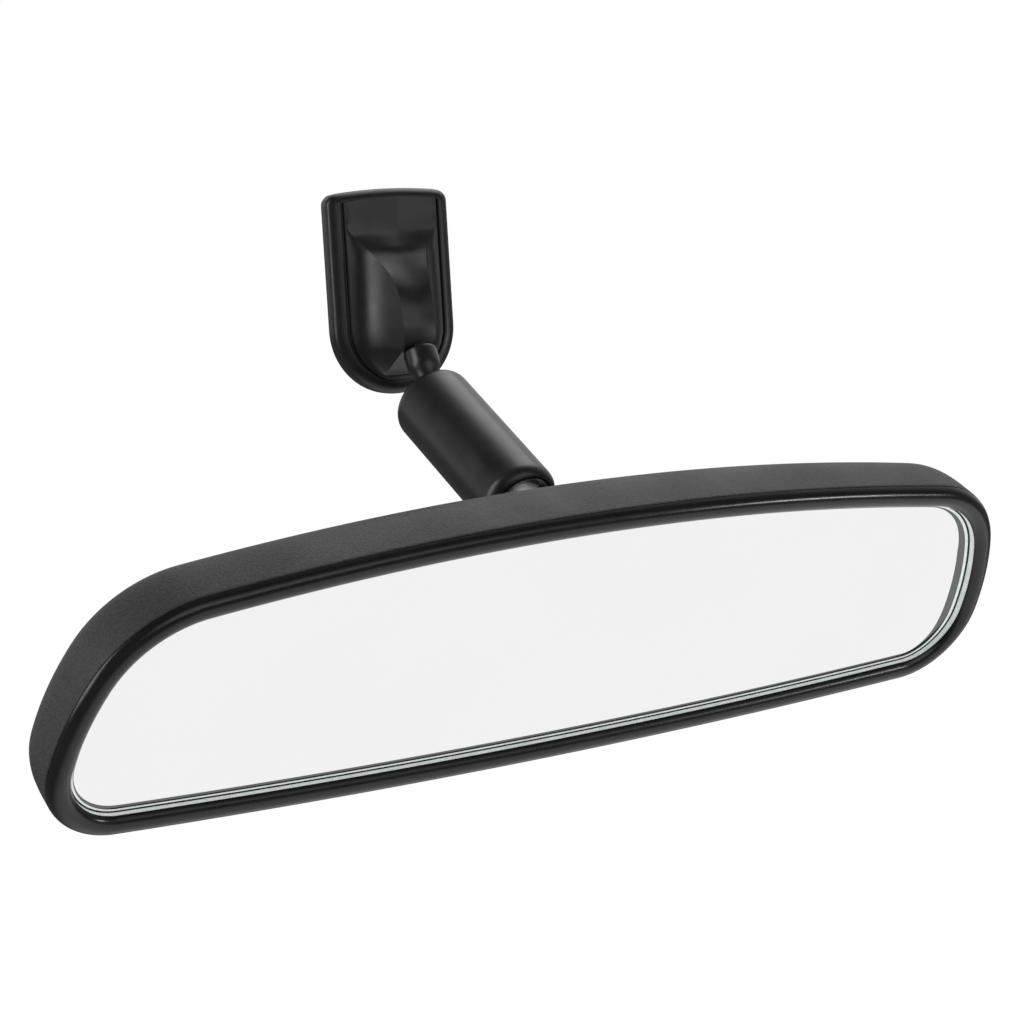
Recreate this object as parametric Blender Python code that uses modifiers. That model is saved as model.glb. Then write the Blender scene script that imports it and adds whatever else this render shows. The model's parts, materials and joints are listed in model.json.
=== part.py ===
"""Interior rear-view mirror with a two-ball adjustable arm and a windshield mount.

Row frame: origin at the centre of the mount's flat back face, +Y is that face's
outward normal (into the windshield), +Z runs up the mount, +X is to the right as
seen by someone facing the mirror. Constants named in millimetres carry no unit
suffix and are multiplied by MM where geometry is made.
"""
import math

import bmesh
import bpy
from mathutils import Euler, Vector

MM = 0.001
GAP = 0.3

# Mirror head (own frame: x right, y up, z towards the viewer, z = 0 at the lip's crest)
HEAD_HALF_WIDTH = 125.0
BOTTOM_RADIUS = 1930.0
BOTTOM_HALF = 107.3
LOWER_CORNER_RADIUS = 18.8
LOWER_CORNER_ANGLE = 90.0
SIDE_RADIUS = 65.3
SIDE_ANGLE = 19.4
UPPER_CORNER_RADIUS = 28.9
UPPER_CORNER_ANGLE = 59.2
LIP_RADIUS = 2.6
LIP_DEPTH = 1.2
BEZEL_DEPTH = 2.1
SKIRT_DEPTH = 8.0
CASE_WALL = 1.6
CASE_BACK = 20.2
GLASS_THICKNESS = 3.0
GLASS_INSET = 3.3
GLASS_BEVEL = 0.4
PLATE_BACK = -13.0
PLATE_FRONT = -11.4
PLATE_SCREWS = [(-22.0, 2.0), (22.0, 2.0), (-22.0, 19.0), (22.0, 19.0)]
POST_FOOT = {2.0: -19.2, 19.0: -18.0}
PAD_X = 72.0

# Pose of the arm and the head, in degrees: yaw about +Z, then pitch below the horizon
UPPER_BALL = Vector((0.0, -23.2, -27.4)) * MM
NECK_ANGLE = 30.0
ARM_YAW = 4.4
ARM_PITCH = 31.0
BALL_SPACING = 36.4
HEAD_YAW = 7.2
HEAD_PITCH = 32.2
HEAD_ROLL = 0.4
BALL_IN_HEAD = Vector((0.0, 14.1, -35.9)) * MM

# Ball joints
BALL_RADIUS = 6.3
SEAT_OUTER = 7.5
RING_OUTER = 8.0
BORE_RADIUS = RING_OUTER + GAP
TUBE_RADIUS = 9.4
TUBE_CORNER = 3.0
LIP_ANGLE = 67.7
SHANK_RADIUS = 3.3
NECK_RADIUS = 3.65
STUD_HOLE = SHANK_RADIUS + GAP

# Spring inside the arm
WIRE_RADIUS = 0.75
COIL_RADIUS = 5.6
COIL_TURNS = 6.5
WASHER_BACK = 9.2

# Mount
MOUNT_HALF_WIDTH = 15.85
MOUNT_HALF_HEIGHT = 24.35
FLANGE_INSET = 3.0
FLANGE_INSET_TOP = 2.0
POCKET_DEPTH = 3.3
POCKET_LOW = -17.0
POCKET_HIGH = 10.5
POCKET_HALF = 8.4
RECESS_DEPTH = 5.2
RECESS_LOW = -12.5
RECESS_HIGH = 8.8
RECESS_HALF = 3.2
CLIP_THICKNESS = 0.25
CLIP_HALF = 2.8
RIVET_HEIGHTS = (6.9, 2.9)

BLACK = (0.012, 0.012, 0.013)
STEEL = (0.55, 0.55, 0.56)


# ---------------------------------------------------------------- scene helpers
def clear_scene():
    for ob in list(bpy.data.objects):
        bpy.data.objects.remove(ob, do_unlink=True)


def new_collection(name):
    col = bpy.data.collections.new(name)
    bpy.context.scene.collection.children.link(col)
    return col


def empty(name, location, rotation=(0.0, 0.0, 0.0), parent=None):
    """A frame that pieces are parented to; the rotation is in degrees."""
    ob = bpy.data.objects.new(name, None)
    bpy.context.scene.collection.objects.link(ob)
    ob.empty_display_size = 10 * MM
    ob.location = location
    ob.rotation_euler = [math.radians(a) for a in rotation]
    ob.parent = parent
    return ob


def material(name, color, metallic=0.0, roughness=0.5):
    mat = bpy.data.materials.new(name)
    mat.use_nodes = True
    bsdf = mat.node_tree.nodes["Principled BSDF"]
    bsdf.inputs["Base Color"].default_value = (*color, 1.0)
    bsdf.inputs["Metallic"].default_value = metallic
    bsdf.inputs["Roughness"].default_value = roughness
    return mat


def place(name, data, parent=None, location=(0, 0, 0), rotation=(0, 0, 0), mat=None):
    """Links an object into the parts collection, location in millimetres."""
    ob = bpy.data.objects.new(name, data)
    PARTS.objects.link(ob)
    ob.parent = parent
    ob.location = Vector(location) * MM
    ob.rotation_euler = [math.radians(a) for a in rotation]
    if mat:
        data.materials.append(mat)
    return ob


def as_cutter(ob):
    """Moves an object out of the parts and hides it from renders."""
    PARTS.objects.unlink(ob)
    CUTTERS.objects.link(ob)
    ob.hide_render = True
    ob.display_type = "WIRE"
    return ob


def boolean(target, cutter, operation="DIFFERENCE"):
    mod = target.modifiers.new(cutter.name, "BOOLEAN")
    mod.operation = operation
    mod.solver = "EXACT"
    mod.object = as_cutter(cutter)


def smooth(mesh, angle=35.0):
    mesh.shade_smooth()
    mesh.set_sharp_from_angle(angle=math.radians(angle))


def cylinder(name, radius, low, high, parent, x=0.0, y=0.0, vertices=24, mat=None):
    """Primitive cylinder between two heights on its own axis."""
    bm = bmesh.new()
    bmesh.ops.create_cone(
        bm, cap_ends=True, segments=vertices, radius1=radius * MM, radius2=radius * MM,
        depth=(high - low) * MM)
    bmesh.ops.translate(bm, verts=bm.verts, vec=(0, 0, (high + low) / 2 * MM))
    mesh = bpy.data.meshes.new(name)
    bm.to_mesh(mesh)
    bm.free()
    smooth(mesh)
    return place(name, mesh, parent, (x, y, 0), mat=mat)


def box(name, low, high, parent=None, mat=None):
    """Primitive cube stretched between two corners, in millimetres."""
    bm = bmesh.new()
    bmesh.ops.create_cube(bm, size=1.0)
    size = [(b - a) * MM for a, b in zip(low, high)]
    centre = [(a + b) / 2 * MM for a, b in zip(low, high)]
    bmesh.ops.scale(bm, verts=bm.verts, vec=size)
    bmesh.ops.translate(bm, verts=bm.verts, vec=centre)
    mesh = bpy.data.meshes.new(name)
    bm.to_mesh(mesh)
    bm.free()
    return place(name, mesh, parent, mat=mat)


def arc(cx, cy, radius, start, end, steps):
    """Points of an arc, angles in degrees from +x towards +y."""
    out = []
    for i in range(steps + 1):
        t = math.radians(start + (end - start) * i / steps)
        out.append((cx + radius * math.cos(t), cy + radius * math.sin(t)))
    return out


def turned(name, profile, steps, parent, mat, closed=False, **where):
    """Screws an (r, z) profile about Z; it runs down the outer side, top to bottom."""
    mesh = bpy.data.meshes.new(name)
    points = [(r * MM, 0.0, z * MM) for r, z in profile]
    edges = [(i, i + 1) for i in range(len(points) - 1)]
    if closed:
        edges.append((len(points) - 1, 0))
    mesh.from_pydata(points, edges, [])
    ob = place(name, mesh, parent, mat=mat, **where)
    mod = ob.modifiers.new("Turn", "SCREW")
    mod.axis = "Z"
    mod.steps = steps
    mod.render_steps = steps
    mod.use_merge_vertices = True
    mod.merge_threshold = 0.00001
    mod.use_smooth_shade = True
    return ob


def poly_curve(name, splines, dimensions="2D"):
    """Curve of straight-segment splines; each is (points in millimetres, cyclic)."""
    data = bpy.data.curves.new(name, "CURVE")
    data.dimensions = dimensions
    for points, cyclic in splines:
        spline = data.splines.new("POLY")
        spline.points.add(len(points) - 1)
        for p, co in zip(spline.points, points):
            z = co[2] if len(co) > 2 else 0.0
            p.co = (co[0] * MM, co[1] * MM, z * MM, 1.0)
        spline.use_cyclic_u = cyclic
    return data


def flat_plate(name, splines, low, high, parent, mat, bevel=0.0):
    """Filled 2D outline, with any holes as further splines, between two heights."""
    data = poly_curve(name, [(s, True) for s in splines])
    data.fill_mode = "BOTH"
    data.extrude = (high - low) / 2 * MM - bevel * MM
    data.bevel_depth = bevel * MM
    data.bevel_resolution = 0
    return place(name, data, parent, (0, 0, (high + low) / 2), mat=mat)


# ---------------------------------------------------------------- head outline
def half_outline():
    """Right half of the head's outline as (x, y, heading), bottom centre to top centre."""
    segments = [
        (BOTTOM_HALF, BOTTOM_RADIUS, 4),
        (math.radians(LOWER_CORNER_ANGLE) * LOWER_CORNER_RADIUS, LOWER_CORNER_RADIUS, 9),
        (math.radians(SIDE_ANGLE) * SIDE_RADIUS, SIDE_RADIUS, 3),
        (math.radians(UPPER_CORNER_ANGLE) * UPPER_CORNER_RADIUS, UPPER_CORNER_RADIUS, 7),
    ]
    x, y, h = 0.0, 0.0, 0.0
    points = [(x, y, h)]
    for length, radius, steps in segments:
        x0, y0, h0 = x, y, h
        for i in range(1, steps + 1):
            h = h0 + length / radius * i / steps
            x = x0 + radius * (math.sin(h) - math.sin(h0))
            y = y0 - radius * (math.cos(h) - math.cos(h0))
            points.append((x, y, h))
    rest = math.pi - h
    crown = x / math.sin(rest)
    cy = y + crown * math.cos(h)
    steps = 8
    for i in range(1, steps + 1):
        t = h + rest * i / steps
        points.append((crown * math.sin(t), cy - crown * math.cos(t), t))
    return points


def head_outline():
    """Full outline, counter-clockwise, as (x, y, outward normal)."""
    right = half_outline()
    left = [(-x, y, 2.0 * math.pi - h) for x, y, h in reversed(right[1:-1])]
    full = right + left
    scale = HEAD_HALF_WIDTH / max(p[0] for p in full)
    ys = [p[1] for p in full]
    middle = (max(ys) + min(ys)) / 2.0
    return [(x * scale, (y - middle) * scale, (math.sin(h), -math.cos(h))) for x, y, h in full]


OUTLINE = head_outline()


def inset_outline(inset):
    return [(x - inset * n[0], y - inset * n[1]) for x, y, n in OUTLINE]


def drawn_in_outline(inset, factor):
    """An outline pulled towards the head's long middle line, for the domed back."""
    spine = 85.0
    out = []
    for x, y in inset_outline(inset):
        sx = max(-spine, min(spine, x))
        out.append((sx + (x - sx) * factor, y * factor))
    return out


# ---------------------------------------------------------------- mirror head
def build_bezel():
    """Closed lip section swept round the outline: a round bead and a thin skirt."""
    r = LIP_RADIUS
    inner = math.degrees(math.asin((r - LIP_DEPTH) / r))
    skirt_in = GLASS_INSET - GAP
    skirt_out = CASE_WALL + 2 * GAP
    outer = 180.0 - math.degrees(math.asin((r - BEZEL_DEPTH) / r))
    section = arc(r, -r, r, outer, inner, 10)
    section += [(skirt_in, -LIP_DEPTH), (skirt_in, -SKIRT_DEPTH)]
    section += [(skirt_out, -SKIRT_DEPTH), (skirt_out, -BEZEL_DEPTH)]
    profile = place("lip_section", poly_curve("lip_section", [([(t, z) for t, z in section], True)]))
    data = poly_curve("front_bezel", [(inset_outline(0.0), True)])
    data.bevel_mode = "OBJECT"
    data.bevel_object = as_cutter(profile)
    mat = material("bezel_black", (0.012, 0.012, 0.013), 0.0, 0.3)
    return place("front_bezel", data, HEAD, mat=mat)


def build_glass():
    front = -(LIP_DEPTH + GAP)
    mat = material("mirror_glass", (0.86, 0.87, 0.87), 1.0, 0.02)
    outline = inset_outline(GLASS_INSET + GLASS_BEVEL)
    flat_plate("mirror_glass", [outline], front - GLASS_THICKNESS, front, HEAD, mat, GLASS_BEVEL)


def case_sections():
    """Outer skin of the case from its front rim to the domed back, as rings."""
    rings = []
    side = ((0.0, -BEZEL_DEPTH - GAP), (0.1, -5.0), (0.3, -8.0), (0.8, -11.2), (1.8, -14.0),
            (3.4, -16.1), (6.2, -17.6))
    for inset, z in side:
        rings.append([(x, y, z) for x, y in inset_outline(inset)])
    for factor, z in ((0.75, -18.6), (0.5, -19.6), (0.15, -CASE_BACK)):
        rings.append([(x, y, z) for x, y in drawn_in_outline(6.2, factor)])
    return rings


def build_case():
    """Open loft through the sections, thickened inwards, with its bosses and holes."""
    bm = bmesh.new()
    rows = [[bm.verts.new([c * MM for c in p]) for p in ring] for ring in case_sections()]
    for a, b in zip(rows, rows[1:]):
        for i in range(len(a)):
            j = (i + 1) % len(a)
            bm.faces.new((a[j], a[i], b[i], b[j]))
    bm.faces.new(reversed(rows[-1]))
    bmesh.ops.recalc_face_normals(bm, faces=bm.faces)
    mesh = bpy.data.meshes.new("rear_case")
    bm.to_mesh(mesh)
    bm.free()
    smooth(mesh)
    mat = material("case_textured", (0.022, 0.022, 0.024), 0.0, 0.75)
    case = place("rear_case", mesh, HEAD, mat=mat)
    shell = case.modifiers.new("Wall", "SOLIDIFY")
    shell.thickness = CASE_WALL * MM
    shell.offset = -1.0
    shell.use_even_offset = True
    add_case_bosses(case)
    return case


def add_case_bosses(case):
    """Central stud boss, four screw posts and two pad ribs, then their holes."""
    stud_y = BALL_IN_HEAD.y / MM
    top = PLATE_BACK - GAP
    boss = cylinder("stud_boss", 9.5, -20.6, top, HEAD, 0.0, stud_y, 28)
    boolean(case, boss, "UNION")
    for k, (x, y) in enumerate(PLATE_SCREWS):
        boolean(case, cylinder("screw_post_%d" % k, 3.2, POST_FOOT[y], top, HEAD, x, y, 14), "UNION")
    for k, x in enumerate((-PAD_X, PAD_X)):
        rib = box("pad_rib_%d" % k, (x - 5, -17, -18.8), (x + 5, 13.5, -6.9), HEAD)
        boolean(case, rib, "UNION")
    boolean(case, cylinder("stud_hole", STUD_HOLE, -25, -10, HEAD, 0.0, stud_y, 20))
    for k, (x, y) in enumerate(PLATE_SCREWS):
        boolean(case, cylinder("pilot_hole_%d" % k, 1.5, -17.3, -10, HEAD, x, y, 12))


def build_pads():
    for name, x in (("foam_pad_left", -PAD_X), ("foam_pad_right", PAD_X)):
        mat = material(name + "_foam", (0.03, 0.03, 0.03), 0.0, 0.95)
        box(name, (x - 6, -18, -6.6), (x + 6, 14, -4.8), HEAD, mat)


def build_ball_plate():
    """Steel plate inside the case that carries the lower stud."""
    outline = []
    for cx, cy, start in ((24, 20, 0), (-24, 20, 90), (-24, 1, 180), (24, 1, 270)):
        outline += arc(cx, cy, 4.0, start, start + 90, 4)
    holes = [arc(0.0, BALL_IN_HEAD.y / MM, STUD_HOLE, 0, 342, 19)]
    holes += [arc(x, y, 1.6, 0, 330, 11) for x, y in PLATE_SCREWS]
    mat = material("plate_zinc", (0.5, 0.51, 0.5), 1.0, 0.4)
    flat_plate("ball_plate", [outline] + holes, PLATE_BACK, PLATE_FRONT, HEAD, mat)


def build_plate_screws():
    under = PLATE_FRONT + GAP
    profile = [(0.0, under + 1.5), (1.9, under + 1.5), (2.6, under + 0.8), (2.6, under)]
    profile += [(1.2, under), (1.2, -16.4), (0.8, -17.0), (0.0, -17.0)]
    for k, (x, y) in enumerate(PLATE_SCREWS, start=1):
        mat = material("screw_steel_%d" % k, STEEL, 1.0, 0.35)
        turned("plate_screw_%d" % k, profile, 14, HEAD, mat, location=(x, y, 0))


def build_lower_stud():
    """Ball, neck, shoulder and shank along the head's normal; origin at the ball."""
    front = -BALL_IN_HEAD.z / MM
    neck = 2.25
    start = math.degrees(math.asin(neck / BALL_RADIUS))
    ball = arc(0, 0, BALL_RADIUS, 90.0 - start, -90.0, 12)
    ball[-1] = (0.0, -BALL_RADIUS)
    profile = [(0.0, front - 6.0), (2.9, front - 6.0), (SHANK_RADIUS, front - 6.4)]
    profile += [(SHANK_RADIUS, front - 20.9), (6.5, front - 20.9), (6.5, front - 22.9)]
    profile += [(3.6, front - 22.9), (2.9, front - 23.6), (2.5, 7.4)] + ball
    mat = material("stud_zinc", (0.72, 0.73, 0.72), 1.0, 0.25)
    turned("lower_ball_stud", profile, 24, STUD, mat)


def build_stud_fasteners():
    y = BALL_IN_HEAD.y / MM
    profile = [(STUD_HOLE, -10.1), (6.6, -10.1), (6.6, -11.1), (STUD_HOLE, -11.1)]
    mat = material("washer_steel", (0.6, 0.6, 0.6), 1.0, 0.35)
    turned("stud_washer", profile, 20, HEAD, mat, closed=True, location=(0, y, 0))
    mat = material("nut_steel", STEEL, 1.0, 0.35)
    nut = cylinder("stud_nut", 6.35, -9.8, -6.8, HEAD, 0.0, y, 6, mat)
    boolean(nut, cylinder("nut_hole", STUD_HOLE, -12, -5, HEAD, 0.0, y, 24))


# ---------------------------------------------------------------- arm
def shell_section(inner, outer, start, end, steps):
    """Section of a spherical shell; angles are from the +z axis, in degrees."""
    out = arc(0, 0, outer, 90.0 - start, 90.0 - end, steps)
    return out + arc(0, 0, inner, 90.0 - end, 90.0 - start, steps)


def build_seats_and_rings():
    """Nylon seats pressed on by the spring, and the rings under the tube's lips."""
    inner = BALL_RADIUS + GAP
    seat = shell_section(inner, SEAT_OUTER, 12.0, 58.0, 6)
    for name, parent in (("upper_ball_seat", ARM), ("lower_ball_seat", ARM_END)):
        mat = material(name + "_nylon", (0.75, 0.74, 0.70), 0.0, 0.5)
        turned(name, seat, 24, parent, mat, closed=True)
    ring = shell_section(inner, RING_OUTER, 64.0, 78.0, 3)
    mat = material("ring_nylon_upper", (0.02, 0.02, 0.02), 0.0, 0.45)
    turned("upper_wear_ring", ring, 24, ARM, mat, closed=True, rotation=(180, 0, 0))
    mat = material("ring_nylon_lower", (0.02, 0.02, 0.02), 0.0, 0.45)
    turned("lower_wear_ring", ring, 24, STUD, mat, closed=True)


def build_tube():
    """Tube whose two ends are rolled in over the balls."""
    edge = BORE_RADIUS * math.sin(math.radians(LIP_ANGLE))
    cx = TUBE_RADIUS - TUBE_CORNER
    stop = math.degrees(math.acos((edge - cx) / TUBE_CORNER))
    profile = arc(cx, BALL_SPACING + 1.0, TUBE_CORNER, stop, 0.0, 5)
    profile += arc(cx, -1.0, TUBE_CORNER, 0.0, -stop, 5)
    profile += arc(0.0, 0.0, BORE_RADIUS, LIP_ANGLE - 90.0, 0.0, 3)
    profile += arc(0.0, BALL_SPACING, BORE_RADIUS, 0.0, 90.0 - LIP_ANGLE, 3)
    mat = material("arm_black_satin", (0.01, 0.01, 0.01), 0.0, 0.35)
    turned("arm_tube", profile, 36, ARM, mat, closed=True)


def build_spring_washers():
    dish = SEAT_OUTER + GAP
    profile = [(2.5, WASHER_BACK), (8.0, WASHER_BACK), (8.0, 5.4)]
    profile += [(r, math.sqrt(dish * dish - r * r)) for r in (6.0, 4.4, 2.5)]
    for name, parent in (("upper_spring_washer", ARM), ("lower_spring_washer", ARM_END)):
        mat = material(name + "_steel", (0.5, 0.5, 0.5), 1.0, 0.4)
        turned(name, profile, 24, parent, mat, closed=True)


def coil_height(turn, low, high):
    """Height of the wire after some turns: one nearly closed coil at each end."""
    closed = 2.0 * WIRE_RADIUS + 0.15
    if turn < 1.0:
        return low + closed * turn
    if turn > COIL_TURNS - 1.0:
        return high - closed * (COIL_TURNS - turn)
    return low + closed + (high - low - 2.0 * closed) * (turn - 1.0) / (COIL_TURNS - 2.0)


def build_spring():
    """Compression spring between the two washers."""
    low = WASHER_BACK + GAP + WIRE_RADIUS
    high = BALL_SPACING - low
    per_turn = 16
    points = []
    for i in range(int(COIL_TURNS * per_turn) + 1):
        t = 2.0 * math.pi * i / per_turn
        z = coil_height(i / per_turn, low, high)
        points.append((COIL_RADIUS * math.cos(t), COIL_RADIUS * math.sin(t), z))
    data = poly_curve("arm_spring", [(points, False)], "3D")
    data.bevel_depth = WIRE_RADIUS * MM
    data.bevel_resolution = 2
    data.use_fill_caps = True
    place("arm_spring", data, ARM, mat=material("spring_steel", (0.42, 0.42, 0.43), 1.0, 0.35))


# ---------------------------------------------------------------- mount
FRONT_HALF = MOUNT_HALF_WIDTH - FLANGE_INSET
FRONT_TOP = MOUNT_HALF_HEIGHT - FLANGE_INSET_TOP
ROUND_Z = MOUNT_HALF_WIDTH - MOUNT_HALF_HEIGHT
STATIONS = [22.35, 21.4, 18.0, 14.4, 12.0, 9.6, 7.2, 4.8, 2.6, 0.6, -2.2, -5.2, -8.5, -11.0,
            -13.1, -14.6, -16.2, -17.8, -19.3, -20.4, -21.0]
STEM_HALF = [(14.4, 11.2), (12.0, 9.2), (9.6, 7.35), (7.2, 6.1), (4.8, 5.1), (0.6, 4.3),
             (-5.2, 4.15), (-13.1, 4.05)]
STEM_EDGE = [(22.4, 4.75), (14.4, 4.95), (12.0, 5.9), (9.6, 7.4), (7.2, 9.6), (4.8, 11.9),
             (2.6, 13.5), (0.6, 14.6), (-2.2, 15.5), (-5.2, 16.0), (-8.5, 16.4), (-13.1, 15.9),
             (-19.3, 5.2)]
STEM_CREST = [(22.4, 6.2), (14.4, 6.0), (12.0, 6.3), (9.6, 7.3), (7.2, 9.2), (4.8, 11.2),
              (2.6, 13.0), (0.6, 14.4), (-2.2, 15.7), (-5.2, 16.4), (-8.5, 16.8), (-13.1, 16.2),
              (-19.3, 5.3)]
FLANGE_STEPS = ((0.35, 3.7), (0.72, 2.6), (1.0, 1.2), (1.0, 0.0))


def read_table(table, value):
    """Straight-line reading of a (key, value) list with falling keys."""
    if value >= table[0][0]:
        return table[0][1]
    for (k0, v0), (k1, v1) in zip(table, table[1:]):
        if value >= k1:
            return v0 + (v1 - v0) * (k0 - value) / (k0 - k1)
    return table[-1][1]


def front_half_width(z):
    drop = max(0.0, ROUND_Z - z)
    return math.sqrt(FRONT_HALF ** 2 - drop ** 2)


def mount_section(z):
    """Half section of the mount's front, centre to edge, as (x, height)."""
    edge = front_half_width(z)
    rim = min(1.0, edge * 0.12)
    stem = edge - rim - 0.3
    if z < 14.5:
        stem = min(stem, read_table(STEM_HALF, z), edge * (0.6 if z < ROUND_Z else 1.0))
    floor = 4.7
    shoulder = read_table(STEM_EDGE, z)
    crest = read_table(STEM_CREST, z)
    start = edge - rim
    points = [(0.0, crest), (stem * 0.5, (shoulder + crest * 2.0) / 3.0), (stem, shoulder)]
    for f, g in ((0.9, 0.30), (0.6, 0.06), (0.3, 0.0)):
        points.append((start + (stem - start) * f, floor + (shoulder - floor) * g))
    return points + [(start, 4.8), (edge - rim * 0.5, 3.95), (edge, 4.3)]


def mount_rows():
    rows = []
    for k, z in enumerate(STATIONS):
        half = mount_section(z)
        sag = max(0.0, 1.0 - k / 3.0)
        edge = half[-1][0]
        rows.append([(x, -h, z - sag * (x / edge) ** 2) for x, h in half])
    return rows


def flange_point(x, z, share, corner):
    """Moves a point of the front edge outwards by a share of the flange."""
    full = MOUNT_HALF_WIDTH / FRONT_HALF
    if z < ROUND_Z:
        scale = 1.0 + (full - 1.0) * share
        return x * scale, ROUND_Z + (z - ROUND_Z) * scale
    lift = FLANGE_INSET_TOP / (FRONT_TOP - ROUND_Z)
    nx = x * (1.0 + (full - 1.0) * share)
    nz = ROUND_Z + (z - ROUND_Z) * (1.0 + lift * share)
    trim = 0.75 * share if corner else 0.0
    return nx - trim, nz - trim


def build_mount():
    """Right half lofted through sections, then mirrored; the back stays flat."""
    bm = bmesh.new()
    rows = mount_rows()
    grid = [[bm.verts.new([c * MM for c in p]) for p in row] for row in rows]
    for a, b in zip(grid, grid[1:]):
        for i in range(len(a) - 1):
            bm.faces.new((a[i], b[i], b[i + 1], a[i + 1]))
    rim = list(zip(grid[0], rows[0])) + [(g[-1], r[-1]) for g, r in zip(grid[1:], rows[1:])]
    rim += list(zip(reversed(grid[-1][:-1]), reversed(rows[-1][:-1])))
    corner = len(rows[0]) - 1
    previous = [v for v, _ in rim]
    for share, height in FLANGE_STEPS:
        ring = []
        for i, (_, (x, _y, z)) in enumerate(rim):
            nx, nz = flange_point(x, z, share, i == corner)
            ring.append(bm.verts.new((nx * MM, -height * MM, nz * MM)))
        for i in range(len(ring) - 1):
            bm.faces.new((previous[i], previous[i + 1], ring[i + 1], ring[i]))
        previous = ring
    bm.faces.new(previous)
    mesh = bpy.data.meshes.new("mount_base")
    bm.to_mesh(mesh)
    bm.free()
    smooth(mesh, 30.0)
    mount = place("mount_base", mesh, mat=material("mount_black_cast", BLACK, 0.0, 0.38))
    mirror = mount.modifiers.new("Mirror", "MIRROR")
    mirror.use_axis = (True, False, False)
    mirror.use_mirror_merge = True
    mirror.merge_threshold = 0.00001
    cut_mount(mount)


def cut_mount(mount):
    """Pocket for the windshield button, spring recess, rivet holes and neck socket."""
    low = (-POCKET_HALF, -POCKET_DEPTH, POCKET_LOW)
    boolean(mount, box("button_pocket", low, (POCKET_HALF, 1.0, POCKET_HIGH)))
    low = (-RECESS_HALF, -RECESS_DEPTH, RECESS_LOW)
    boolean(mount, box("spring_recess", low, (RECESS_HALF, -POCKET_DEPTH + 1.0, RECESS_HIGH)))
    boolean(mount, cylinder("neck_socket", 2.3, -22.9, -13.0, NECK, vertices=18))
    for k, z in enumerate(RIVET_HEIGHTS, start=1):
        frame = empty("rivet_axis_%d" % k, Vector((0.0, 0.0, z)) * MM, (90, 0, 0))
        RIVET_FRAMES.append(frame)
        hole = cylinder("rivet_hole_%d" % k, 1.2, RECESS_DEPTH - 0.5, 7.4, frame, vertices=12)
        boolean(mount, hole)


def build_upper_stud():
    """Ball, tapered neck and the stub pressed into the stem; origin at the ball."""
    neck = 2.25
    start = math.degrees(math.asin(neck / BALL_RADIUS))
    ball = arc(0, 0, BALL_RADIUS, 90.0, -90.0 + start, 12)
    ball[0] = (0.0, BALL_RADIUS)
    r = NECK_RADIUS
    profile = ball + [(3.35, -9.6), (r, -11.4), (r, -15.2), (r - 0.4, -15.6), (2.0, -15.6)]
    profile += [(2.0, -22.2), (1.6, -22.6), (0.0, -22.6)]
    turned("upper_ball_stud", profile, 24, NECK, material("neck_black", BLACK, 0.0, 0.35))


def build_button_clip():
    """Bowed leaf spring in the recess that presses on the windshield button."""
    path = [(-12.1, -4.85), (-9.5, -4.3), (-6.5, -3.5), (-4.3, -3.15), (-2.1, -3.5),
            (-0.4, -4.3), (1.0, -4.85), (8.4, -4.85)]
    bm = bmesh.new()
    verts = [bm.verts.new((-CLIP_HALF * MM, y * MM, z * MM)) for z, y in path]
    edges = [bm.edges.new(pair) for pair in zip(verts, verts[1:])]
    made = bmesh.ops.extrude_edge_only(bm, edges=edges)["geom"]
    moved = [v for v in made if isinstance(v, bmesh.types.BMVert)]
    bmesh.ops.translate(bm, verts=moved, vec=(2 * CLIP_HALF * MM, 0, 0))
    mesh = bpy.data.meshes.new("button_clip")
    bm.to_mesh(mesh)
    bm.free()
    clip = place("button_clip", mesh, mat=material("clip_spring_steel", (0.45, 0.45, 0.46), 1.0, 0.3))
    leaf = clip.modifiers.new("Leaf", "SOLIDIFY")
    leaf.thickness = CLIP_THICKNESS * MM
    leaf.offset = 0.0
    for k, frame in enumerate(RIVET_FRAMES, start=1):
        boolean(clip, cylinder("clip_hole_%d" % k, 1.2, 4.0, 5.5, frame, vertices=12))


def build_clip_rivets():
    """Rivets with domed heads on the leaf; their depths are from the back face."""
    top = RECESS_DEPTH - 0.35 - CLIP_THICKNESS / 2 - 0.2
    profile = [(0.0, 7.1), (0.9, 7.1), (0.9, top), (1.8, top), (1.8, top - 0.35)]
    profile += [(1.2, top - 0.7), (0.0, top - 0.7)]
    for k, frame in enumerate(RIVET_FRAMES, start=1):
        mat = material("rivet_steel_%d" % k, (0.6, 0.6, 0.6), 1.0, 0.35)
        turned("clip_rivet_%d" % k, profile, 12, frame, mat)


# ---------------------------------------------------------------- assembly
clear_scene()
PARTS = new_collection("rearview_mirror")
CUTTERS = new_collection("cutters")
RIVET_FRAMES = []

ARM_TURN = Euler((math.radians(ARM_PITCH + 90.0), 0.0, math.radians(ARM_YAW)))
LOWER_BALL = UPPER_BALL + ARM_TURN.to_matrix() @ Vector((0.0, 0.0, BALL_SPACING * MM))
NECK = empty("neck_axis", UPPER_BALL, (180.0 - NECK_ANGLE, 0, 0))
ARM = empty("arm_axis", UPPER_BALL, (ARM_PITCH + 90.0, 0, ARM_YAW))
ARM_END = empty("arm_end", (0, 0, BALL_SPACING * MM), (180, 0, 0), ARM)
HEAD_TURN = empty("head_ball_joint", LOWER_BALL, (HEAD_PITCH + 90.0, 0, HEAD_YAW))
STUD = empty("stud_axis", (0, 0, 0), (0, 0, HEAD_ROLL), HEAD_TURN)
HEAD = empty("head_frame", -BALL_IN_HEAD, (0, 0, 0), STUD)

build_mount()
build_upper_stud()
build_button_clip()
build_clip_rivets()
build_seats_and_rings()
build_tube()
build_spring_washers()
build_spring()
build_lower_stud()
build_case()
build_bezel()
build_glass()
build_pads()
build_ball_plate()
build_stud_fasteners()
build_plate_screws()
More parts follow.
